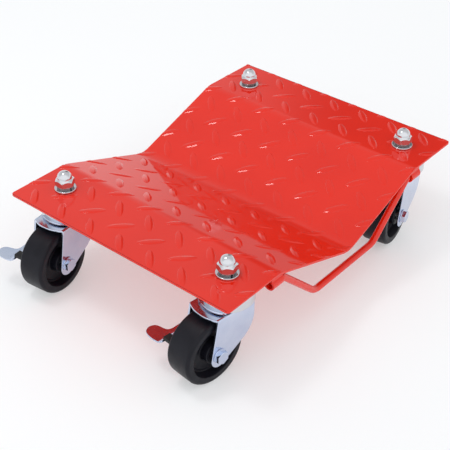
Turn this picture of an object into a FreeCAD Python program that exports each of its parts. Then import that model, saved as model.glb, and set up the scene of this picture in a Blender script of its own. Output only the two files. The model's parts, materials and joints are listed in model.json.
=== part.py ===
import FreeCAD, Part
import math
import os

# Wheel dolly: a V-bent tread-plate deck that cradles one car tyre, carried on
# four swivel casters with side brakes, with a drop handle under one long edge.
# Millimetres. Origin on the ground under the deck's centre, +Z up, X across
# the deck, Y along it. Each caster is built about its own swivel axis, with
# its wheel trailing towards -Y, then turned and moved to its bolt hole.

# deck
DECK_WIDTH = 304.8          # 12 in
DECK_LENGTH = 406.4         # 16 in
SHEET = 2.5
DECK_TOP = 112.5            # top of the level end flanges
RIDGE_Y = 124.4             # where a flange meets its slope
VALLEY_DEPTH = 43.6
BEND_R = 30.0               # inside radius of every bend
CORNER_R = 4.0
STEM_X = 114.2              # caster bolt holes
STEM_Y = 158.6
STEM_HOLE_R = 6.5
DECK_UNDER = DECK_TOP - SHEET

# M12 king bolt and its stack on top of the deck
STEM_R = 6.0
WASHER_R, WASHER_T = 12.0, 2.5
LOCK_R, LOCK_T, LOCK_SPLIT = 9.1, 3.0, 1.6
CAP_AF, CAP_CORNER_R, CAP_HEIGHT = 19.0, 10.9, 17.0
CAP_BASE_R, CAP_CHAMFER = 9.3, 1.1
CAP_FLAT_TOP = 6.2          # where the hexagon's corners run out
DOME_R, DOME_BASE = 8.2, 8.8
THREAD_DEPTH = 12.5
BOLT_HEAD_R, BOLT_HEAD_T = 9.0, 2.2

# caster
WHEEL_R = 38.0              # 3 in nominal
WHEEL_HALF = 15.6           # half of the tread's width, 1 1/4 in nominal
SHOULDER_R = 4.0
RIM_IN_R = 29.0             # inside of the tread ring, at the side face
WEB_OUT_R, WEB_IN_R, WEB_HALF = 27.0, 14.5, 5.5
WHEEL_HUB_R, WHEEL_HUB_HALF = 12.5, 15.2
WHEEL_BORE_R = 6.05
TRAIL = 29.5                # swivel axis to wheel axle
FORK_TOP = 83.0
FORK_SHEET = 2.5
FORK_HALF = 21.0
FORK_NOSE_R = 37.4          # rounded front of the fork's crown
FORK_TAIL = 18.0
FORK_BEND_R = 2.6
FORK_BORE_R = 9.0
RIB_R, RIB_TOP_R, RIB_BORE_R, RIB_T = 27.6, 25.2, 19.6, 2.6     # raised arc round the balls' front
LEG_R = 10.2                # round end of a leg
LEG_DROP = 4.0              # its centre, below the axle
LEG_TOE_TURN = -105         # a point midway round that end, in degrees
HEEL = (4.5, 42.5)          # rear edge of a leg, as (y, z): foot, middle and top of its curve
FLANK = (14.0, 53.0)
LEG_TAIL_Z = 72.0
LEG_INNER = FORK_HALF - FORK_SHEET
FORK_UNDER = FORK_TOP - FORK_SHEET

# swivel head
BELL_R, BELL_TOP_R, BELL_RIM = 28.6, 14.0, 86.0
BELL_SHOULDER = 97.0
BELL_SHEET, BELL_SLOPE_IN = 2.5, 1.2
RACE_GAP = 0.05             # running gap between the balls and a race
TOP_BALL_R, TOP_PITCH_R, TOP_BALLS = 2.5, 16.5, 14
LOW_BALL_R, LOW_PITCH_R, LOW_BALLS = 2.0, 12.0, 12
UPPER_RACE_R, UPPER_RACE_T, HUB_R = 20.0, 3.0, 12.0
LOWER_RACE_R, LOWER_RACE_T, LOWER_LIP_T = 15.5, 1.3, 1.3

# axle
AXLE_R = 4.0                # M8 flange bolt
AXLE_HEAD_AF, AXLE_HEAD_T = 13.0, 5.8
AXLE_FLANGE_R, AXLE_FLANGE_T = 8.2, 1.3
AXLE_NUT_AF, AXLE_NUT_T = 13.0, 6.5
AXLE_PROUD = 1.2
BUSH_R, BUSH_BORE_R = 6.0, 4.0

# brake: a sheet pedal hinged on the outside of the left leg
PIN_X, PIN_Z, PIN_R = -25.6, 66.0, 2.0
PIN_HEAD_R, PIN_HEAD_T = 3.0, 1.2
LUG_R, LUG_T = 4.2, 2.5
LUG_FRONT_Y, LUG_REAR_Y = -24.0, -6.5
KNUCKLE_GAP = 0.5
PEDAL_T = 2.0
KNUCKLE_BORE_R = 2.05
PEDAL_X = PIN_X - KNUCKLE_BORE_R - PEDAL_T / 2      # middle of the sheet where it hangs
PEDAL_ROOT_X = -31.2        # how far out the pedal keeps the knuckle's width
PEDAL_CURVE_R = 8.0
TAB_Z = 38.0                # middle of the sheet at the foot tab
TAB_FRONT, TAB_OUT = -66.0, -62.0
# the pedal's edge from above, as (x, y), from the root's front round the tab to its back
TONGUE = [(-34, -29), (-33.8, -38), (-31.2, -45), (-30.2, -50), (-30.1, -55), (-30.8, -59), (-36.5, -61.8),
          (-46, -62.5), (-53.5, -60.8), (-58.5, -54), (-56.5, -47), (-49.5, -44), (-42.5, -41.3), (-41, -34),
          (-41, -24), (-37.5, -13)]
PAD_FACE_X, PAD_BACK_X = -19.1, -30.6               # from beside the wheel to the pedal's edge
PAD_FRONT, PAD_REAR = -58.0, -49.0
PAD_LOW, PAD_HIGH = 42.0, 46.5

# which side and end of the deck each caster is on, and how far it stands turned, in degrees
CASTERS = {
    "front_left": (-1, -1, 6.0),
    "front_right": (1, -1, -6.5),
    "rear_left": (-1, 1, -7.0),
    "rear_right": (1, 1, 9.5),
}
# how far each cap nut and spring washer was left turned, in degrees
STACK_TURNS = {"front_left": -5.0, "front_right": -13.5, "rear_left": 17.0, "rear_right": 37.0}

# drop handle
HANDLE_X, HANDLE_Z = 148.0, 102.0
TUBE_R, TUBE_BORE_R = 6.4, 4.5
TUBE_NEAR, TUBE_FAR = 119.0, 136.0
ROD_R = 4.0
ROD_END = 131.0
ROD_KNEE = 116.0
GRIP_HALF, GRIP_Z = 55.5, 45.8
KNEE_R, GRIP_BEND_R = 7.0, 20.0
SADDLE_HALF = 4.0           # weld between tube and deck

Z_AXIS = FreeCAD.Vector(0, 0, 1)
Y_AXIS = FreeCAD.Vector(0, 1, 0)
ORIGIN = FreeCAD.Vector(0, 0, 0)
OVER = 1.0                  # how far a cutting tool runs past its stock
NEAR = 0.01                 # two measurements this close are the same


def vec(x, y, z):
    return FreeCAD.Vector(x, y, z)


def save(shape, name):
    shape.exportStep("parts/" + name + ".step")


def cylinder_z(radius, low, high):
    return Part.makeCylinder(radius, high - low, vec(0, 0, low))


def ring_z(radius, bore, low, high):
    return cylinder_z(radius, low, high).cut(cylinder_z(bore, low - OVER, high + OVER))


def turned(points):
    """A solid of revolution about Z from (radius, height) corners."""
    outline = [vec(r, 0, z) for r, z in points]
    face = Part.Face(Part.makePolygon(outline + outline[:1]))
    return face.revolve(ORIGIN, Z_AXIS, 360)


def hexagon_z(across_flats, low, high):
    corner = across_flats / math.sqrt(3)
    turns = [math.radians(60 * k) for k in range(7)]
    outline = [vec(corner * math.cos(t), corner * math.sin(t), low) for t in turns]
    return Part.Face(Part.makePolygon(outline)).extrude(vec(0, 0, high - low))


def box(low, high):
    return Part.makeBox(high[0] - low[0], high[1] - low[1], high[2] - low[2], vec(*low))


def rounded_path(points, radii):
    """A wire of straight runs joined by tangent arcs, one radius per inner point."""
    edges = []
    start = points[0]
    for before, corner, after, radius in zip(points, points[1:], points[2:], radii):
        into = (corner - before).normalize()
        out = (after - corner).normalize()
        turn = into.getAngle(out)
        reach = radius * math.tan(turn / 2)
        first = corner - into * reach
        last = corner + out * reach
        bisector = (out - into).normalize()
        centre = corner + bisector * (radius / math.cos(turn / 2))
        middle = centre - bisector * radius
        edges.append(Part.LineSegment(start, first).toShape())
        edges.append(Part.Arc(first, middle, last).toShape())
        start = last
    edges.append(Part.LineSegment(start, points[-1]).toShape())
    return Part.Wire(edges)


def along_x(shape):
    """Turn a shape built about Z so that it lies along X, at the wheel's axle."""
    shape = shape.copy()
    shape.rotate(ORIGIN, Y_AXIS, 90)
    shape.translate(vec(0, -TRAIL, WHEEL_R))
    return shape


def at_caster(shape, caster):
    side, end, turn = CASTERS[caster]
    shape = shape.copy()
    shape.rotate(ORIGIN, Z_AXIS, turn)
    shape.translate(vec(side * STEM_X, end * STEM_Y, 0))
    return shape


# ---------------------------------------------------------------- deck

def edges_over(shape, length, places):
    """The shape's edges of one length whose centres lie over the given (y, z) places."""
    return [e for e in shape.Edges if abs(e.Length - length) < NEAR
            and any(math.hypot(e.CenterOfMass.y - y, e.CenterOfMass.z - z) < NEAR for y, z in places)]


def deck_plate():
    """One sheet with three bends: two level flanges joined by a shallow V."""
    slope = math.atan2(VALLEY_DEPTH, RIDGE_Y)
    half = DECK_LENGTH / 2
    ridge_under = RIDGE_Y + SHEET * math.tan(slope / 2)
    valley_top = DECK_TOP - VALLEY_DEPTH
    valley_under = valley_top - SHEET / math.cos(slope)
    top = [(-half, DECK_TOP), (-RIDGE_Y, DECK_TOP), (0, valley_top), (RIDGE_Y, DECK_TOP), (half, DECK_TOP)]
    under = [(half, DECK_UNDER), (ridge_under, DECK_UNDER), (0, valley_under),
             (-ridge_under, DECK_UNDER), (-half, DECK_UNDER)]
    outline = [vec(-DECK_WIDTH / 2, y, z) for y, z in top + under]
    plate = Part.Face(Part.makePolygon(outline + outline[:1])).extrude(vec(DECK_WIDTH, 0, 0))
    inner_bends = [(0, valley_top), (-ridge_under, DECK_UNDER), (ridge_under, DECK_UNDER)]
    outer_bends = [(0, valley_under), (-RIDGE_Y, DECK_TOP), (RIDGE_Y, DECK_TOP)]
    plate = plate.makeFillet(BEND_R, edges_over(plate, DECK_WIDTH, inner_bends))
    plate = plate.makeFillet(BEND_R + SHEET, edges_over(plate, DECK_WIDTH, outer_bends))
    middle = DECK_TOP - SHEET / 2
    plate = plate.makeFillet(CORNER_R, edges_over(plate, SHEET, [(-half, middle), (half, middle)]))
    for side, end, _ in CASTERS.values():
        hole = cylinder_z(STEM_HOLE_R, DECK_UNDER - OVER, DECK_TOP + OVER)
        hole.translate(vec(side * STEM_X, end * STEM_Y, 0))
        plate = plate.cut(hole)
    return plate


# ---------------------------------------------------------------- bolt stack

def flat_washer():
    return ring_z(WASHER_R, STEM_HOLE_R, DECK_TOP, DECK_TOP + WASHER_T)


def lock_washer():
    low = DECK_TOP + WASHER_T
    ring = ring_z(LOCK_R, STEM_R, low, low + LOCK_T)
    split = box((0, -LOCK_SPLIT / 2, low - OVER), (LOCK_R + OVER, LOCK_SPLIT / 2, low + LOCK_T + OVER))
    return ring.cut(split)


def cap_nut():
    """A domed nut: a hexagon whose corners run out into a cone under the dome."""
    low = DECK_TOP + WASHER_T + LOCK_T
    body = hexagon_z(CAP_AF, low, low + CAP_HEIGHT)
    skin = turned([(0, low), (CAP_BASE_R, low), (CAP_CORNER_R, low + CAP_CHAMFER),
                   (CAP_CORNER_R, low + CAP_FLAT_TOP), (DOME_R, low + DOME_BASE), (0, low + DOME_BASE)])
    neck_top = low + CAP_HEIGHT - DOME_R
    dome = cylinder_z(DOME_R, low + CAP_FLAT_TOP, neck_top).fuse(Part.makeSphere(DOME_R, vec(0, 0, neck_top)))
    nut = body.common(skin).fuse(dome)
    return nut.cut(cylinder_z(STEM_R, low - OVER, low + THREAD_DEPTH)).removeSplitter()


def king_bolt():
    head_top = lower_race_bottom()
    tip = DECK_TOP + WASHER_T + LOCK_T + THREAD_DEPTH
    head = cylinder_z(BOLT_HEAD_R, head_top - BOLT_HEAD_T, head_top)
    return head.fuse(cylinder_z(STEM_R, head_top, tip)).removeSplitter()


def at_every_stem(make):
    """One bolt-stack piece at each stem, each left at its own turn."""
    pieces = []
    for caster, turn in STACK_TURNS.items():
        piece = make()
        piece.rotate(ORIGIN, Z_AXIS, turn)
        pieces.append(at_caster(piece, caster))
    return Part.makeCompound(pieces)


# ---------------------------------------------------------------- swivel head

def lower_race_top():
    return FORK_UNDER - 2 * LOW_BALL_R - RACE_GAP


def lower_race_bottom():
    return lower_race_top() - LOWER_RACE_T


def swivel_bell():
    """A pressed cap with a straight skirt and a sloping top, held under the deck."""
    inner_r, inner_top = BELL_R - BELL_SHEET, DECK_UNDER - BELL_SHEET
    return turned([
        (STEM_R, DECK_UNDER), (BELL_TOP_R, DECK_UNDER), (BELL_R, BELL_SHOULDER), (BELL_R, BELL_RIM),
        (inner_r, BELL_RIM), (inner_r, BELL_SHOULDER - BELL_SLOPE_IN),
        (BELL_TOP_R - BELL_SLOPE_IN, inner_top), (STEM_R, inner_top)])


def upper_race():
    low = FORK_TOP + 2 * TOP_BALL_R + RACE_GAP
    high = DECK_UNDER - BELL_SHEET
    return turned([(STEM_R, low), (UPPER_RACE_R, low), (UPPER_RACE_R, low + UPPER_RACE_T),
                   (HUB_R, low + UPPER_RACE_T), (HUB_R, high), (STEM_R, high)])


def lower_race():
    low, top = lower_race_bottom(), lower_race_top()
    lip = top + LOW_BALL_R
    inside = LOWER_RACE_R - LOWER_LIP_T
    return turned([(STEM_R, low), (LOWER_RACE_R, low), (LOWER_RACE_R, lip), (inside, lip),
                   (inside, top), (STEM_R, top)])


def ball_ring(count, ball_r, pitch_r, height):
    turns = [2 * math.pi * k / count for k in range(count)]
    centres = [vec(pitch_r * math.cos(t), pitch_r * math.sin(t), height) for t in turns]
    return Part.makeCompound([Part.makeSphere(ball_r, centre) for centre in centres])


def upper_balls():
    return ball_ring(TOP_BALLS, TOP_BALL_R, TOP_PITCH_R, FORK_TOP + TOP_BALL_R)


def lower_balls():
    return ball_ring(LOW_BALLS, LOW_BALL_R, LOW_PITCH_R, FORK_UNDER - LOW_BALL_R)


# ---------------------------------------------------------------- fork

def tangent_run(corner, centre, radius, side):
    """Where a straight edge from corner meets a circle, on the given side of it."""
    reach = centre - corner
    lean = math.atan2(reach.z, reach.y) + side * math.asin(radius / reach.Length)
    run = math.sqrt(reach.Length ** 2 - radius ** 2)
    return corner + vec(0, math.cos(lean), math.sin(lean)) * run


def leg_outline(x):
    """The side of a fork leg: wide at the crown, tapering to a round end below the axle."""
    lobe = vec(x, -TRAIL, WHEEL_R - LEG_DROP)
    crown_front = vec(x, -math.sqrt(FORK_NOSE_R ** 2 - FORK_HALF ** 2), FORK_TOP)
    crown_rear = vec(x, FORK_TAIL, FORK_TOP)
    heel, flank, tail = vec(x, *HEEL), vec(x, *FLANK), vec(x, FORK_TAIL, LEG_TAIL_Z)
    front_end = tangent_run(crown_front, lobe, LEG_R, -1)
    rear_end = tangent_run(heel, lobe, LEG_R, 1)
    toe_turn = math.radians(LEG_TOE_TURN)
    toe = lobe + vec(0, math.cos(toe_turn), math.sin(toe_turn)) * LEG_R
    edges = [
        Part.LineSegment(crown_front, front_end).toShape(),
        Part.Arc(front_end, toe, rear_end).toShape(),
        Part.LineSegment(rear_end, heel).toShape(),
        Part.Arc(heel, flank, tail).toShape(),
        Part.LineSegment(tail, crown_rear).toShape(),
        Part.LineSegment(crown_rear, crown_front).toShape(),
    ]
    return Part.Face(Part.Wire(edges))


def crown_rib():
    """An arc raised on the crown, in front of the balls and just under the bell's rim."""
    ring = turned([(RIB_BORE_R, FORK_UNDER), (RIB_BORE_R, FORK_TOP + RIB_T), (RIB_TOP_R, FORK_TOP + RIB_T),
                   (RIB_R, FORK_TOP), (RIB_R, FORK_UNDER)])
    half = FORK_HALF - FORK_BEND_R
    return ring.common(box((-half, -RIB_R, FORK_UNDER), (half, 0, FORK_TOP + RIB_T)))


def fork():
    """A folded sheet: crown and two legs, with the brake's lugs on the left leg."""
    legs = [leg_outline(x).extrude(vec(FORK_SHEET, 0, 0)) for x in (-FORK_HALF, LEG_INNER)]
    nose = cylinder_z(FORK_NOSE_R, FORK_UNDER, FORK_TOP)
    crown = nose.common(box((-FORK_HALF, -FORK_NOSE_R, FORK_UNDER), (FORK_HALF, FORK_TAIL, FORK_TOP)))
    body = crown.fuse(legs).removeSplitter()
    bends = [e for e in body.Edges
             if abs(abs(e.CenterOfMass.x) - FORK_HALF) < NEAR and abs(e.CenterOfMass.z - FORK_TOP) < NEAR
             and e.Length > FORK_NOSE_R]
    body = body.makeFillet(FORK_BEND_R, bends)
    body = body.fuse(crown_rib()).cut(cylinder_z(FORK_BORE_R, FORK_UNDER - OVER, FORK_TOP + OVER))
    axle_hole = along_x(cylinder_z(AXLE_R, -FORK_HALF - OVER, FORK_HALF + OVER))
    return body.cut(axle_hole).fuse([brake_lug(LUG_FRONT_Y), brake_lug(LUG_REAR_Y)]).removeSplitter()


def brake_lug(front):
    """An ear on the left leg's outer face that carries one end of the brake pin."""
    ear = Part.makeCylinder(LUG_R, LUG_T, vec(PIN_X, front, PIN_Z), Y_AXIS)
    web = box((PIN_X, front, PIN_Z - LUG_R), (-FORK_HALF, front + LUG_T, PIN_Z + LUG_R))
    hole = Part.makeCylinder(PIN_R, LUG_T + 2 * OVER, vec(PIN_X, front - OVER, PIN_Z), Y_AXIS)
    return ear.fuse(web).cut(hole)


# ---------------------------------------------------------------- wheel and axle

def wheel():
    """One moulding: tread ring, dished web and hub, turned about the axle."""
    near = [(WHEEL_BORE_R, WHEEL_HUB_HALF), (WHEEL_HUB_R, WHEEL_HUB_HALF), (WEB_IN_R, WEB_HALF),
            (WEB_OUT_R, WEB_HALF), (RIM_IN_R, WHEEL_HALF), (WHEEL_R, WHEEL_HALF)]
    block = turned(near + [(radius, -side) for radius, side in reversed(near)])
    shoulders = [e for e in block.Edges
                 if isinstance(e.Curve, Part.Circle) and abs(e.Curve.Radius - WHEEL_R) < NEAR]
    return along_x(block.makeFillet(SHOULDER_R, shoulders))


def wheel_bush():
    """The sleeve the wheel turns on, clamped between the fork's legs."""
    return along_x(ring_z(BUSH_R, BUSH_BORE_R, -LEG_INNER, LEG_INNER))


def axle_bolt():
    """A flange bolt, with its head on the side away from the brake."""
    flange = cylinder_z(AXLE_FLANGE_R, FORK_HALF, FORK_HALF + AXLE_FLANGE_T)
    head = hexagon_z(AXLE_HEAD_AF, FORK_HALF + AXLE_FLANGE_T, FORK_HALF + AXLE_HEAD_T)
    shank = cylinder_z(AXLE_R, -FORK_HALF - AXLE_NUT_T - AXLE_PROUD, FORK_HALF)
    return along_x(head.fuse([flange, shank]).removeSplitter())


def axle_nut():
    nut = hexagon_z(AXLE_NUT_AF, -FORK_HALF - AXLE_NUT_T, -FORK_HALF)
    return along_x(nut.cut(cylinder_z(AXLE_R, -FORK_HALF - AXLE_NUT_T - OVER, -FORK_HALF + OVER)))


# ---------------------------------------------------------------- brake

def brake_pin():
    low, high = LUG_FRONT_Y, LUG_REAR_Y + LUG_T
    shank = Part.makeCylinder(PIN_R, high - low, vec(PIN_X, low, PIN_Z), Y_AXIS)
    heads = [Part.makeCylinder(PIN_HEAD_R, PIN_HEAD_T, vec(PIN_X, y, PIN_Z), Y_AXIS)
             for y in (low - PIN_HEAD_T, high)]
    return shank.fuse(heads).removeSplitter()


def knuckle_ends():
    """The front and rear of the pedal's knuckle, between the fork's two lugs."""
    return LUG_FRONT_Y + LUG_T + KNUCKLE_GAP, LUG_REAR_Y - KNUCKLE_GAP


def pedal_plan():
    """The pedal from above: a square hinge end and a curved tongue with an oval tip."""
    front, rear = knuckle_ends()
    points = [vec(x, y, 0) for x, y in [(PEDAL_ROOT_X, front)] + TONGUE + [(PEDAL_ROOT_X, rear)]]
    curve = Part.BSplineCurve()
    curve.interpolate(points)
    hinge = Part.makePolygon([points[-1], vec(PIN_X, rear, 0), vec(PIN_X, front, 0), points[0]])
    return Part.Face(Part.Wire([curve.toShape()] + hinge.Edges))


def brake_lever():
    """A strip that drops from its knuckle, curves outwards and ends in a level foot tab."""
    run = [vec(PEDAL_X, 0, PIN_Z), vec(PEDAL_X, 0, TAB_Z), vec(TAB_OUT, 0, TAB_Z)]
    left, right = PEDAL_X - PEDAL_T / 2, PEDAL_X + PEDAL_T / 2
    corners = [(left, 0), (right, 0), (right, TAB_FRONT), (left, TAB_FRONT), (left, 0)]
    section = Part.makePolygon([vec(x, y, PIN_Z) for x, y in corners])
    strip = rounded_path(run, [PEDAL_CURVE_R]).makePipeShell([section], True, False)
    tongue = strip.common(pedal_plan().extrude(vec(0, 0, DECK_TOP)))
    front, rear = knuckle_ends()
    knuckle = Part.makeCylinder(KNUCKLE_BORE_R + PEDAL_T, rear - front, vec(PIN_X, front, PIN_Z), Y_AXIS)
    bore = Part.makeCylinder(KNUCKLE_BORE_R, rear - front + 2 * OVER, vec(PIN_X, front - OVER, PIN_Z), Y_AXIS)
    return tongue.fuse(knuckle).cut(bore).removeSplitter()


def brake_pad():
    """A block on the pedal's inner edge that reaches for the wheel's side face."""
    block = box((PAD_BACK_X, PAD_FRONT, PAD_LOW), (PAD_FACE_X, PAD_REAR, PAD_HIGH))
    return block.cut(brake_lever()).Solids[0]


# ---------------------------------------------------------------- handle

def handle_tube(end):
    near, far = sorted((end * TUBE_NEAR, end * TUBE_FAR))
    tube = Part.makeCylinder(TUBE_R, far - near, vec(HANDLE_X, near, HANDLE_Z), Y_AXIS)
    saddle = box((HANDLE_X - SADDLE_HALF, near, HANDLE_Z), (HANDLE_X + SADDLE_HALF, far, DECK_UNDER))
    bore = Part.makeCylinder(TUBE_BORE_R, far - near + 2 * OVER, vec(HANDLE_X, near - OVER, HANDLE_Z), Y_AXIS)
    return tube.fuse(saddle).cut(bore).cut(deck_plate()).removeSplitter()


def handle_bail():
    """One bent rod: an end in each tube, two sloping legs and a straight grip."""
    half = [(ROD_END, HANDLE_Z), (ROD_KNEE, HANDLE_Z), (GRIP_HALF, GRIP_Z)]
    points = [vec(HANDLE_X, -y, z) for y, z in half] + [vec(HANDLE_X, y, z) for y, z in reversed(half)]
    path = rounded_path(points, [KNEE_R, GRIP_BEND_R, GRIP_BEND_R, KNEE_R])
    section = Part.Wire(Part.makeCircle(ROD_R, points[0], Y_AXIS))
    return path.makePipeShell([section], True, False)


def main():
    os.makedirs("parts", exist_ok=True)
    save(deck_plate(), "deck_plate")
    save(at_every_stem(flat_washer), "flat_washers")
    save(at_every_stem(lock_washer), "lock_washers")
    save(at_every_stem(cap_nut), "cap_nuts")
    save(at_every_stem(king_bolt), "king_bolts")
    save(at_every_stem(lower_race), "lower_races")
    save(handle_tube(-1), "handle_tube_front")
    save(handle_tube(1), "handle_tube_rear")
    save(handle_bail(), "handle_bail")
    pieces = {
        "swivel_bell": swivel_bell(),
        "upper_race": upper_race(),
        "upper_balls": upper_balls(),
        "lower_balls": lower_balls(),
        "fork": fork(),
        "wheel": wheel(),
        "wheel_bush": wheel_bush(),
        "axle_bolt": axle_bolt(),
        "axle_nut": axle_nut(),
        "brake_pin": brake_pin(),
        "brake_lever": brake_lever(),
        "brake_pad": brake_pad(),
    }
    for caster in CASTERS:
        for name, piece in pieces.items():
            save(at_caster(piece, caster), name + "_" + caster)


main()
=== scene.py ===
import json
import math

import bmesh
import bpy
from mathutils import Matrix, Vector

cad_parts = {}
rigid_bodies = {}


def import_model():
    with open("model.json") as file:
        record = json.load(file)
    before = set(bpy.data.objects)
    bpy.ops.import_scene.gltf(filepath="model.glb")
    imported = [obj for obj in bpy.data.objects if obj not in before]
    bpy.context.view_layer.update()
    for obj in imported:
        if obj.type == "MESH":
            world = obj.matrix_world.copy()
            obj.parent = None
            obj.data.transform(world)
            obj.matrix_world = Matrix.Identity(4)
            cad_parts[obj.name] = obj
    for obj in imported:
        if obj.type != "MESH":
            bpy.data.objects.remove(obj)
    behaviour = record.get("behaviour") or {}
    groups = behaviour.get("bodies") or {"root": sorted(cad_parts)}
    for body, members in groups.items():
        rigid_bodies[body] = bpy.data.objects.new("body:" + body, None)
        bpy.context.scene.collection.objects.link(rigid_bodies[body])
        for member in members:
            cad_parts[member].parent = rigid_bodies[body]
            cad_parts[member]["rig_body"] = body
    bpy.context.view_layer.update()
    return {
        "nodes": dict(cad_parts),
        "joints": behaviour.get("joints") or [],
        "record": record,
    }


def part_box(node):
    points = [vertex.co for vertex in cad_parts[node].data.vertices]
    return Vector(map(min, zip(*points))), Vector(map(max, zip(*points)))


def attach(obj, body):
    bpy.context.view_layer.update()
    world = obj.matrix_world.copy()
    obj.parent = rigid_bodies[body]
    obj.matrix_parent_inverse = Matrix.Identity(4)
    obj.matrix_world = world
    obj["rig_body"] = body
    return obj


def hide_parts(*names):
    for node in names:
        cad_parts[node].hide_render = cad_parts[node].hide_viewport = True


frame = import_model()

# Wheel dolly: red tread-plate deck on four braked swivel casters, with a drop
# handle. Metres, Z up, X across the deck, Y along it, origin on the ground.

MM = 0.001
CASTERS = ("front_left", "front_right", "rear_left", "rear_right")
JOINTS = {joint["name"]: joint for joint in frame["joints"]}
SLOTS = {part["node"]: part["material_slot"] for part in frame["record"]["subparts"]}

# deck, repeated from the CAD part
SHEET = 2.5 * MM
RIDGE_Y = 124.4 * MM
VALLEY_DEPTH = 43.6 * MM
INNER_BEND_R = 30 * MM
OUTER_BEND_R = INNER_BEND_R + SHEET
CORNER_R = 4 * MM
BOLT_HOLE_R = 6.5 * MM
DECK_EDGE = 0.5 * MM

# mesh steps: along the valley's bend, the slope, the ridge's bend and the flange, then across
# the deck, round a quarter corner, and round a bolt hole and a wheel
RUN_STEPS, PLATE_COLUMNS = (8, 12, 10, 8), 24
CORNER_STEPS, HOLE_STEPS, WHEEL_STEPS = 6, 48, 96

# tread lozenges, set at 45 degrees to the deck's edges in two crossed sets, each given
# by one lozenge's x, distance from the valley and turn
TREAD_SETS = ((-0.9 * MM, 19.5 * MM, -45), (22.7 * MM, 41.0 * MM, 45))
TREAD_PITCH_X, TREAD_PITCH_S = 42.3 * MM, 43.4 * MM
TREAD_COLUMNS, TREAD_ROWS = range(-4, 5), range(-6, 6)
TREAD_HALF_LENGTH, TREAD_HALF_WIDTH, TREAD_HEIGHT = 15.0 * MM, 4.6 * MM, 0.85 * MM
TREAD_CREST = 0.40          # how much of a lozenge's half width is its flat crest
TREAD_ROUNDING = 0.57       # 0.5 is an ellipse's outline, more is more pointed
TREAD_TIP = 0.999           # its outline stops just short of a point
TREAD_SUNK = 0.6 * MM
TREAD_CUT = 0.6 * MM        # how far inside the deck's edge a lozenge stops
TREAD_REACH = 9 * MM        # how far off the deck a lozenge's middle may be
WASHER_CLEAR = (12.2 * MM, 14.0 * MM)   # distances from a bolt: flush up to, full height from

# wheel's section, by radius from the axle and distance from the wheel's middle
WHEEL_R, WHEEL_HALF, SHOULDER_R, TREAD_FLAT_HALF = 38.0 * MM, 15.6 * MM, 4.0 * MM, 8.0 * MM
RIM_IN_R, RIM_EDGE_R = 28.9 * MM, 1.0 * MM
WEB_IN_R, WEB_OUT_R, WEB_HALF, WEB_FILLET_R = 14.2 * MM, 25.6 * MM, 6.0 * MM, 1.4 * MM
RING_IN_R, RING_OUT_R, RING_FLANK, RING_HEIGHT = 22.6 * MM, 25.0 * MM, 0.6 * MM, 0.5 * MM  # on the web
HUB_R, HUB_HALF, HUB_EDGE_R = 12.5 * MM, 15.2 * MM, 0.9 * MM
BORE_R, MOUTH_R, MOUTH_DEPTH = 6.05 * MM, 6.7 * MM, 0.6 * MM
RIM_DRAFT, TREAD_LEAN = 15, 12  # degrees that the rim's inside and the tread's edge lean

# how far each kind of piece has its edges rounded
CASTER_EDGES = {"fork": 0.5 * MM, "swivel_bell": 0.6 * MM, "axle_bolt": 0.35 * MM, "axle_nut": 0.35 * MM,
                "brake_pin": 0.3 * MM, "brake_lever": 0.5 * MM, "brake_pad": 0.6 * MM}
OTHER_EDGES = {"flat_washers": 0.6 * MM, "lock_washers": 0.6 * MM, "cap_nuts": 0.35 * MM,
               "handle_tube_front": 0.35 * MM, "handle_tube_rear": 0.35 * MM, "handle_bail": 0.4 * MM}

# points of a CAD mesh this near become one, and so do faces this close to one plane
SAME_POINT, SAME_PLANE = 0.002 * MM, math.radians(0.6)

# camera: where it stands round the deck, and how far its aim is off the deck's middle
CAM_AZIMUTH, CAM_ELEVATION, CAM_ROLL = math.radians(39.52), math.radians(35.51), math.radians(0.68)
CAM_DISTANCE, CAM_LENS, CAM_SENSOR = 1.1533, 82.07, 36.0
CAM_ASIDE, CAM_ABOVE, CAM_TARGET_Z = 16.43 * MM, 65.97 * MM, 112.5 * MM

# light of the white room, by where it comes from: its strengths, the two bearings where
# it differs, and the stretches over which one strength turns into another
ROOM_LOW, ROOM_UPPER, ROOM_FRONT = 1.06, 0.76, 1.2
ROOM_DIM_LOW, ROOM_DIM = 0.5, 0.2
ROOM_TINT = (0.98, 0.99, 1.0)
FRONT_BEARING, DIM_BEARING = (0.636, -0.771, 0.0), (-0.423, 0.906, 0.0)
ROOM_HEIGHTS, DIM_FOOT_HEIGHTS, DIM_TOP_HEIGHTS = (0.10, 0.40), (0.05, 0.35), (0.55, 0.80)
DIM_EDGE, FRONT_EDGE = (0.966, 0.996), (-0.05, 0.60)

# soft key light, and the pale floor that glows a little
KEY_PLACE, KEY_TARGET, KEY_SIZE, KEY_WATTS = (-0.33, -0.37, 1.25), (0, 0, 0.08), 0.28, 2.6
FLOOR_SIZE, FLOOR_COLOUR, FLOOR_GLOW = 24, (0.62, 0.63, 0.64), 0.36

# the stretch of a noise's values that spans a finish's two roughnesses, and its two colours
ROUGHNESS_SPAN, COLOUR_SPAN = (0.3, 0.7), (0.35, 0.65)


def set_inputs(node, **values):
    """Sets a node's inputs by their names, with _ for each space."""
    for name, value in values.items():
        node.inputs[name.replace("_", " ")].default_value = value


def add_node(tree, kind, **values):
    node = tree.nodes.new(kind)
    set_inputs(node, **values)
    return node


# ---------------------------------------------------------------- camera, light and floor

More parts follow.
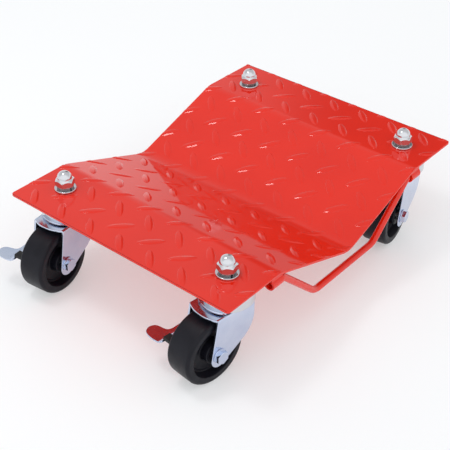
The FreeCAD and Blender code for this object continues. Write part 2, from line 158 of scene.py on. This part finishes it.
def make_camera():
    back = Vector((math.sin(CAM_AZIMUTH) * math.cos(CAM_ELEVATION),
                   -math.cos(CAM_AZIMUTH) * math.cos(CAM_ELEVATION), math.sin(CAM_ELEVATION)))
    level = Vector((math.cos(CAM_AZIMUTH), math.sin(CAM_AZIMUTH), 0))
    upright = back.cross(level)
    right = level * math.cos(CAM_ROLL) + upright * math.sin(CAM_ROLL)
    up = upright * math.cos(CAM_ROLL) - level * math.sin(CAM_ROLL)
    data = bpy.data.cameras.new("camera")
    data.lens, data.sensor_width = CAM_LENS, CAM_SENSOR
    camera = bpy.data.objects.new("camera", data)
    place = back * CAM_DISTANCE - right * CAM_ASIDE - up * CAM_ABOVE + Vector((0, 0, CAM_TARGET_Z))
    camera.matrix_world = Matrix.Translation(place) @ Matrix((right, up, back)).transposed().to_4x4()
    bpy.context.scene.collection.objects.link(camera)
    bpy.context.scene.camera = camera


def make_key_light():
    data = bpy.data.lights.new("key", "AREA")
    data.shape, data.size, data.energy = "SQUARE", KEY_SIZE, KEY_WATTS
    light = bpy.data.objects.new("key", data)
    light.location = KEY_PLACE
    light.rotation_mode = "QUATERNION"
    light.rotation_quaternion = (Vector(KEY_TARGET) - Vector(KEY_PLACE)).to_track_quat("-Z", "Y")
    bpy.context.scene.collection.objects.link(light)


def make_world():
    """A white room: bright low down and in front, softer above, dim in a narrow band behind."""
    world = bpy.data.worlds.new("studio")
    world.use_nodes = True
    tree = world.node_tree

    def fade(value, stretch, first, second):
        """Turns the first strength into the second while the value crosses the stretch."""
        ramp = add_node(tree, "ShaderNodeMapRange", From_Min=stretch[0], From_Max=stretch[1])
        ramp.interpolation_type = "SMOOTHSTEP"
        tree.links.new(value, ramp.inputs["Value"])
        for name, end in (("To Min", first), ("To Max", second)):
            if isinstance(end, float):
                ramp.inputs[name].default_value = end
            else:
                tree.links.new(end, ramp.inputs[name])
        return ramp.outputs["Result"]

    def vector_step(operation, vector, other=(0, 0, 0)):
        step = add_node(tree, "ShaderNodeVectorMath")
        step.operation = operation
        tree.links.new(vector, step.inputs[0])
        step.inputs[1].default_value = other
        return step.outputs

    direction = add_node(tree, "ShaderNodeTexCoord").outputs["Generated"]
    split = add_node(tree, "ShaderNodeSeparateXYZ")
    tree.links.new(direction, split.inputs["Vector"])
    height = split.outputs["Z"]
    level = vector_step("MULTIPLY", direction, (1, 1, 0))["Vector"]
    bearing = vector_step("NORMALIZE", level)["Vector"]
    frontness = vector_step("DOT_PRODUCT", level, FRONT_BEARING)["Value"]
    dimness = vector_step("DOT_PRODUCT", bearing, DIM_BEARING)["Value"]
    room = fade(height, ROOM_HEIGHTS, ROOM_LOW, ROOM_UPPER)
    dim_above = fade(height, DIM_TOP_HEIGHTS, ROOM_DIM, ROOM_UPPER)
    dim = fade(height, DIM_FOOT_HEIGHTS, ROOM_DIM_LOW, dim_above)
    back = fade(dimness, DIM_EDGE, room, dim)
    light = fade(frontness, FRONT_EDGE, back, ROOM_FRONT)
    tree.links.new(light, tree.nodes["Background"].inputs["Strength"])
    set_inputs(tree.nodes["Background"], Color=(*ROOM_TINT, 1))
    bpy.context.scene.world = world


def make_floor():
    bpy.ops.mesh.primitive_plane_add(size=FLOOR_SIZE)
    floor = bpy.context.object
    floor.name = "floor"
    paper = Finish("floor_paper", FLOOR_COLOUR, 0.9)
    paper.set(Specular_IOR_Level=0.1, Emission_Color=(1, 1, 1, 1), Emission_Strength=FLOOR_GLOW)
    floor.data.materials.append(paper.material)


# ---------------------------------------------------------------- materials

class Finish:
    """A principled material. Its noise is fixed to the piece, in metres, and varies a mean
    colour and roughness. Each bump goes on top of the one before."""

    def __init__(self, name, colour, roughness, metallic=0.0):
        self.material = bpy.data.materials.new(name)
        self.material.use_nodes = True
        self.tree = self.material.node_tree
        self.shader = self.tree.nodes["Principled BSDF"]
        self.bump = None
        self.set(Base_Color=(*colour, 1), Roughness=roughness, Metallic=metallic)

    def set(self, **values):
        set_inputs(self.shader, **values)

    def link(self, output, node, name):
        self.tree.links.new(output, node.inputs[name])

    def noise(self, scale, detail=2.0, stretch=(1, 1, 1)):
        place = add_node(self.tree, "ShaderNodeTexCoord")
        mapping = add_node(self.tree, "ShaderNodeMapping", Scale=stretch)
        noise = add_node(self.tree, "ShaderNodeTexNoise", Scale=scale, Detail=detail)
        self.link(place.outputs["Object"], mapping, "Vector")
        self.link(mapping.outputs["Vector"], noise, "Vector")
        return noise.outputs["Fac"]

    def vary_colour(self, noise, first, second):
        ramp = add_node(self.tree, "ShaderNodeValToRGB")
        for end, position, colour in zip(ramp.color_ramp.elements, COLOUR_SPAN, (first, second)):
            end.position, end.color = position, (*colour, 1)
        self.link(noise, ramp, "Fac")
        self.link(ramp.outputs["Color"], self.shader, "Base Color")

    def vary_roughness(self, noise, low, high):
        ramp = add_node(self.tree, "ShaderNodeMapRange", From_Min=ROUGHNESS_SPAN[0],
                        From_Max=ROUGHNESS_SPAN[1], To_Min=low, To_Max=high)
        self.link(noise, ramp, "Value")
        self.link(ramp.outputs["Result"], self.shader, "Roughness")

    def add_bump(self, noise, strength, distance):
        bump = add_node(self.tree, "ShaderNodeBump", Strength=strength, Distance=distance)
        self.link(noise, bump, "Height")
        if self.bump:
            self.link(self.bump.outputs["Normal"], bump, "Normal")
        self.link(bump.outputs["Normal"], self.shader, "Normal")
        self.bump = bump


def red_paint():
    """Glossy powder coat: a clear red with a faint orange-peel skin."""
    paint = Finish("red_powder_coat", (0.74, 0.016, 0.003), 0.4)
    paint.vary_colour(paint.noise(14, detail=3), (0.76, 0.017, 0.003), (0.72, 0.014, 0.002))
    paint.vary_roughness(paint.noise(60, detail=4), 0.35, 0.45)
    paint.add_bump(paint.noise(160), 0.05, 0.2 * MM)
    paint.add_bump(paint.noise(900), 0.03, 0.05 * MM)
    paint.set(Specular_IOR_Level=0.0, Coat_Weight=1.0, Coat_Roughness=0.05)
    return paint.material


def bright_zinc():
    """Forks, pedals and bolts: a cool mirror dulled by fine rolling lines and soft clouds."""
    zinc = Finish("bright_zinc", (0.58, 0.64, 0.79), 0.13, metallic=1.0)
    zinc.vary_colour(zinc.noise(45, detail=3), (0.54, 0.61, 0.77), (0.61, 0.67, 0.81))
    zinc.vary_roughness(zinc.noise(90, detail=4), 0.09, 0.17)
    zinc.add_bump(zinc.noise(900, detail=3, stretch=(1, 1, 0.08)), 0.02, 0.05 * MM)
    return zinc.material


def chrome_plate():
    """Cap nuts, flat washers and bells: a mirror with a faint ripple."""
    chrome = Finish("chrome_plate", (0.64, 0.65, 0.68), 0.08, metallic=1.0)
    chrome.vary_roughness(chrome.noise(220, detail=4), 0.04, 0.12)
    chrome.add_bump(chrome.noise(700), 0.04, 0.1 * MM)
    return chrome.material


def bearing_steel():
    """Bearings, bushes and spring washers: bare steel with an uneven sheen. Its dark colour is partly
    the steel's own and partly painted shade, so the spring washers under the nuts show as the shaded
    groove there.
    """
    # dark base colour: partly bare steel's own, partly painted shade of the groove under each cap nut
    steel = Finish("bearing_steel", (0.24, 0.24, 0.25), 0.30, metallic=1.0)
    steel.vary_colour(steel.noise(120, detail=4), (0.18, 0.18, 0.18), (0.30, 0.30, 0.31))
    steel.vary_roughness(steel.noise(300, detail=3), 0.18, 0.40)
    steel.add_bump(steel.noise(1200), 0.05, 0.1 * MM)
    return steel.material


def black_moulding():
    """Wheel plastic: near black with a soft sheen and a faint moulded grain."""
    plastic = Finish("black_wheel", (0.006, 0.006, 0.010), 0.42)
    plastic.vary_colour(plastic.noise(70, detail=4), (0.005, 0.005, 0.009), (0.008, 0.008, 0.013))
    plastic.vary_roughness(plastic.noise(160, detail=4), 0.36, 0.50)
    plastic.add_bump(plastic.noise(1400, detail=3), 0.12, 0.15 * MM)
    plastic.add_bump(plastic.noise(120), 0.08, 0.4 * MM)
    plastic.set(Specular_IOR_Level=0.2)
    return plastic.material


def black_rubber():
    """The brake pads: dull, with a fine grain."""
    rubber = Finish("black_rubber", (0.012, 0.012, 0.012), 0.75)
    rubber.vary_roughness(rubber.noise(300, detail=4), 0.65, 0.90)
    rubber.add_bump(rubber.noise(900, detail=3), 0.25, 0.2 * MM)
    return rubber.material


FINISHES = {"red_powder_coat": red_paint(), "bright_zinc": bright_zinc(),
            "chrome_plate": chrome_plate(), "bearing_steel": bearing_steel(),
            "black_wheel": black_moulding(), "black_rubber": black_rubber()}


# ---------------------------------------------------------------- mesh helpers

def new_piece(name, mesh, body, node):
    """A piece that rides on a body, stands for a CAD node and has the finish of its slot."""
    piece = bpy.data.objects.new(name, mesh)
    bpy.context.scene.collection.objects.link(piece)
    piece.data.materials.append(FINISHES[SLOTS[node]])
    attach(piece, body)
    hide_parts(node)
    return piece


def mesh_from(name, build):
    """A smooth-shaded mesh made by build(bm)."""
    bm = bmesh.new()
    build(bm)
    bmesh.ops.recalc_face_normals(bm, faces=bm.faces)
    for face in bm.faces:
        face.smooth = True
    mesh = bpy.data.meshes.new(name)
    bm.to_mesh(mesh)
    bm.free()
    return mesh


def grid_faces(bm, rows):
    for first, second in zip(rows, rows[1:]):
        for a, b, c, d in zip(first, first[1:], second[1:], second):
            bm.faces.new((a, b, c, d))


def rim(rows):
    """The vertices round a grid, from its first one back to it."""
    far = [row[-1] for row in rows[1:]]
    near = [row[0] for row in rows[:-1]]
    return rows[0] + far + rows[-1][-2::-1] + near[::-1]


def soften(piece, width, segments=2, angle=35):
    """Rounds the piece's sharp edges, and keeps its flat faces flat in shading."""
    bevel = piece.modifiers.new("edges", "BEVEL")
    bevel.width, bevel.segments, bevel.angle_limit = width, segments, math.radians(angle)
    bevel.use_clamp_overlap = False
    shading = piece.modifiers.new("shading", "WEIGHTED_NORMAL")
    shading.keep_sharp = True


def refined(node, width):
    """A CAD node's own shape with its edges rounded, standing for the node."""
    source = frame["nodes"][node]

    def copy_shape(bm):
        bm.from_mesh(source.data)
        bmesh.ops.remove_doubles(bm, verts=bm.verts, dist=SAME_POINT)
        bmesh.ops.dissolve_limit(bm, angle_limit=SAME_PLANE, verts=bm.verts, edges=bm.edges)

    piece = new_piece(node + "_shape", mesh_from(node + "_shape", copy_shape), source["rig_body"], node)
    soften(piece, width)


# ---------------------------------------------------------------- deck

class DeckCurve:
    """The deck's top surface seen from the side, by distance s along it from the valley."""

    def __init__(self, half_length, top):
        self.angle = math.atan2(VALLEY_DEPTH, RIDGE_Y)
        self.top = top
        valley_reach = INNER_BEND_R * math.tan(self.angle)
        ridge_reach = OUTER_BEND_R * math.tan(self.angle / 2)
        slope = math.hypot(RIDGE_Y, VALLEY_DEPTH)
        self.valley_end = INNER_BEND_R * self.angle
        self.slope_end = self.valley_end + slope - valley_reach - ridge_reach
        self.ridge_end = self.slope_end + OUTER_BEND_R * self.angle
        self.ridge_edge = RIDGE_Y + ridge_reach
        self.half_run = self.ridge_end + half_length - self.ridge_edge
        self.valley_centre_z = top - VALLEY_DEPTH + INNER_BEND_R / math.cos(self.angle)

    def at(self, s):
        """(y, z, lean): the surface's height and its lean from level, at distance s."""
        side, run = (1 if s >= 0 else -1), abs(s)
        if run < self.slope_end:
            lean = min(run, self.valley_end) / INNER_BEND_R
            past = max(0.0, run - self.valley_end)
            y = INNER_BEND_R * math.sin(lean) + past * math.cos(lean)
            z = self.valley_centre_z - INNER_BEND_R * math.cos(lean) + past * math.sin(lean)
        elif run < self.ridge_end:
            lean = (self.ridge_end - run) / OUTER_BEND_R
            y = self.ridge_edge - OUTER_BEND_R * math.sin(lean)
            z = self.top - OUTER_BEND_R * (1 - math.cos(lean))
        else:
            lean = 0.0
            y = self.ridge_edge + run - self.ridge_end
            z = self.top
        return side * y, z, side * lean

    def point(self, x, s, height=0.0):
        y, z, lean = self.at(s)
        return Vector((x, y - height * math.sin(lean), z + height * math.cos(lean)))

    def stations(self):
        """Distances that follow the bends and the corners closely and the flats loosely."""
        corner = self.half_run - CORNER_R
        ends = (0, self.valley_end, self.slope_end, self.ridge_end, corner)
        half = [low + (high - low) * k / steps
                for low, high, steps in zip(ends, ends[1:], RUN_STEPS) for k in range(steps)]
        half += [corner + CORNER_R * math.sin(math.radians(90 * k / CORNER_STEPS))
                 for k in range(CORNER_STEPS + 1)]
        return [-s for s in reversed(half[1:])] + half


def bolt_places():
    return [Vector(JOINTS["swivel_" + caster]["pos_m"]) for caster in CASTERS]


def build_plate(bm, curve, half_width):
    """The sheet's top surface, with its round corners."""
    spots = [2 * k / PLATE_COLUMNS - 1 for k in range(PLATE_COLUMNS + 1)]
    rows = []
    for s in curve.stations():
        past = max(0.0, abs(s) - (curve.half_run - CORNER_R))
        reach = half_width - CORNER_R + math.sqrt(max(0.0, CORNER_R ** 2 - past ** 2))
        rows.append([bm.verts.new(curve.point(reach * spot, s)) for spot in spots])
    grid_faces(bm, rows)


def tread_height(lengthwise, crosswise):
    """A lozenge's soft crest, which runs out flush at its ends and sides."""
    flank = max(0.0, (abs(crosswise) - TREAD_CREST) / (1 - TREAD_CREST))
    return TREAD_HEIGHT * (1 - flank * flank * (3 - 2 * flank)) * (1 - lengthwise ** 2)


def build_flat_tread(bm, centre, turn):
    """One closed lozenge on the flat, with a skirt that will sink into the sheet."""
    along, across = 16, 12
    cos, sin = math.cos(math.radians(turn)), math.sin(math.radians(turn))
    tops, unders = [], []
    for a in range(along + 1):
        lengthwise = TREAD_TIP * math.sin(math.pi * (a / along - 0.5))
        half_width = TREAD_HALF_WIDTH * (1 - lengthwise ** 2) ** TREAD_ROUNDING
        tops.append([])
        unders.append([])
        for c in range(across + 1):
            crosswise = 2 * c / across - 1
            p, q = lengthwise * TREAD_HALF_LENGTH, crosswise * half_width
            x, s = centre[0] + p * cos - q * sin, centre[1] + p * sin + q * cos
            tops[-1].append(bm.verts.new((x, s, tread_height(lengthwise, crosswise))))
            unders[-1].append(bm.verts.new((x, s, -TREAD_SUNK)))
    for rows in (tops, unders, (rim(tops), rim(unders))):
        grid_faces(bm, rows)


def cut_beyond(bm, axis, distance):
    """Cuts away what lies further along the axis than the distance, and closes the cut."""
    everything = bm.verts[:] + bm.edges[:] + bm.faces[:]
    cut = bmesh.ops.bisect_plane(bm, geom=everything, plane_co=axis * distance, plane_no=axis,
                                 clear_outer=True)["geom_cut"]
    bmesh.ops.holes_fill(bm, edges=[piece for piece in cut if isinstance(piece, bmesh.types.BMEdge)])


def build_treads(bm, curve, half_width):
    """Both crossed sets of lozenges: made flat, cut at the deck's edges, then laid on its curve."""
    limits = (half_width - TREAD_CUT, curve.half_run - TREAD_CUT)
    for start_x, start_s, turn in TREAD_SETS:
        for i in TREAD_COLUMNS:
            for j in TREAD_ROWS:
                centre = (start_x + i * TREAD_PITCH_X, start_s + j * TREAD_PITCH_S)
                if all(abs(middle) < limit + TREAD_REACH for middle, limit in zip(centre, limits)):
                    build_flat_tread(bm, centre, turn)
    for axis, limit in zip((Vector((1, 0, 0)), Vector((0, 1, 0))), limits):
        for outward in (-axis, axis):
            cut_beyond(bm, outward, limit)
    bolts = bolt_places()
    for vert in bm.verts:
        x, s, rise = vert.co
        near = min((curve.point(x, s).xy - bolt.xy).length for bolt in bolts)
        clear = min(1.0, max(0.0, (near - WASHER_CLEAR[0]) / (WASHER_CLEAR[1] - WASHER_CLEAR[0])))
        vert.co = curve.point(x, s, rise * clear if rise > 0 else rise)


def build_drills(bm):
    """A cylinder through the deck at each bolt."""
    for bolt in bolt_places():
        middle = Matrix.Translation((bolt.x, bolt.y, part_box("deck_plate")[1].z))
        bmesh.ops.create_cone(bm, cap_ends=True, segments=HOLE_STEPS, radius1=BOLT_HOLE_R,
                              radius2=BOLT_HOLE_R, depth=4 * SHEET, matrix=middle)


def drill_bolt_holes(plate):
    """Turns the thickened sheet into a plain mesh with its four bolt holes."""
    drill = bpy.data.objects.new("drill", mesh_from("drill", build_drills))
    bpy.context.scene.collection.objects.link(drill)
    holes = plate.modifiers.new("bolt_holes", "BOOLEAN")
    holes.operation, holes.object = "DIFFERENCE", drill
    solid = plate.evaluated_get(bpy.context.evaluated_depsgraph_get())
    plate.data = bpy.data.meshes.new_from_object(solid)
    plate.modifiers.clear()
    bpy.data.objects.remove(drill)


def make_deck():
    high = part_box("deck_plate")[1]
    curve = DeckCurve(high.y, high.z)
    sheet = mesh_from("deck_sheet", lambda bm: build_plate(bm, curve, high.x))
    plate = new_piece("deck_sheet", sheet, "deck", "deck_plate")
    thickness = plate.modifiers.new("thickness", "SOLIDIFY")
    thickness.thickness, thickness.offset, thickness.use_even_offset = SHEET, -1, True
    drill_bolt_holes(plate)
    soften(plate, DECK_EDGE, segments=3, angle=50)
    treads = mesh_from("deck_treads", lambda bm: build_treads(bm, curve, high.x))
    new_piece("deck_treads", treads, "deck", "deck_plate")


# ---------------------------------------------------------------- wheels

def arc(centre_r, centre_x, radius, start, end, steps=5):
    """Points on an arc of a section, from one angle to another in degrees."""
    turns = [math.radians(start + (end - start) * k / steps) for k in range(steps + 1)]
    return [(centre_r + radius * math.cos(turn), centre_x + radius * math.sin(turn)) for turn in turns]


def wheel_profile():
    """Half of the wheel's section as (radius, distance from the middle), from bore to tread."""
    fillet_x, ring_x = WEB_HALF + WEB_FILLET_R, WEB_HALF + RING_HEIGHT
    return [(BORE_R, 0), (BORE_R, HUB_HALF - MOUTH_DEPTH), (MOUTH_R, HUB_HALF),
            *arc(HUB_R - HUB_EDGE_R, HUB_HALF - HUB_EDGE_R, HUB_EDGE_R, 90, 0),
            *arc(WEB_IN_R, fillet_x, WEB_FILLET_R, 180, 270),
            (RING_IN_R, WEB_HALF), (RING_IN_R + RING_FLANK, ring_x),
            (RING_OUT_R - RING_FLANK, ring_x), (RING_OUT_R, WEB_HALF),
            *arc(WEB_OUT_R, fillet_x, WEB_FILLET_R, 270, 360 - RIM_DRAFT),
            *arc(RIM_IN_R + RIM_EDGE_R, WHEEL_HALF - RIM_EDGE_R, RIM_EDGE_R, 180 - RIM_DRAFT, 90),
            *arc(WHEEL_R - SHOULDER_R, WHEEL_HALF - SHOULDER_R, SHOULDER_R, 90, TREAD_LEAN, steps=8),
            (WHEEL_R, TREAD_FLAT_HALF), (WHEEL_R, 0)]


def build_wheel(bm, joint):
    """The whole section, turned about the wheel's joint."""
    half = wheel_profile()
    section = half + [(r, -x) for r, x in reversed(half[1:-1])]
    spin = Vector(joint["axis"]).to_track_quat("X", "Z").to_matrix().to_4x4()
    hub = Matrix.Translation(joint["pos_m"]) @ spin
    rings = []
    for k in range(WHEEL_STEPS):
        turn = 2 * math.pi * k / WHEEL_STEPS
        cos, sin = math.cos(turn), math.sin(turn)
        ring = [bm.verts.new(hub @ Vector((x, r * cos, r * sin))) for r, x in section]
        rings.append(ring + ring[:1])
    grid_faces(bm, rings + rings[:1])


def make_wheels():
    for caster in CASTERS:
        joint = JOINTS["wheel_spin_" + caster]
        name = "tread_wheel_" + caster
        mesh = mesh_from(name, lambda bm: build_wheel(bm, joint))
        piece = new_piece(name, mesh, "rolling_wheel_" + caster, "wheel_" + caster)
        piece.modifiers.new("shading", "WEIGHTED_NORMAL")


# ---------------------------------------------------------------- the scene

def main():
    for name, node in frame["nodes"].items():
        node.data.materials.clear()
        node.data.materials.append(FINISHES[SLOTS[name]])
    bpy.context.scene.view_settings.view_transform = "Standard"
    make_camera()
    make_world()
    make_key_light()
    make_floor()
    make_deck()
    make_wheels()
    for kind, width in CASTER_EDGES.items():
        for caster in CASTERS:
            refined(kind + "_" + caster, width)
    for node, width in OTHER_EDGES.items():
        refined(node, width)


main()
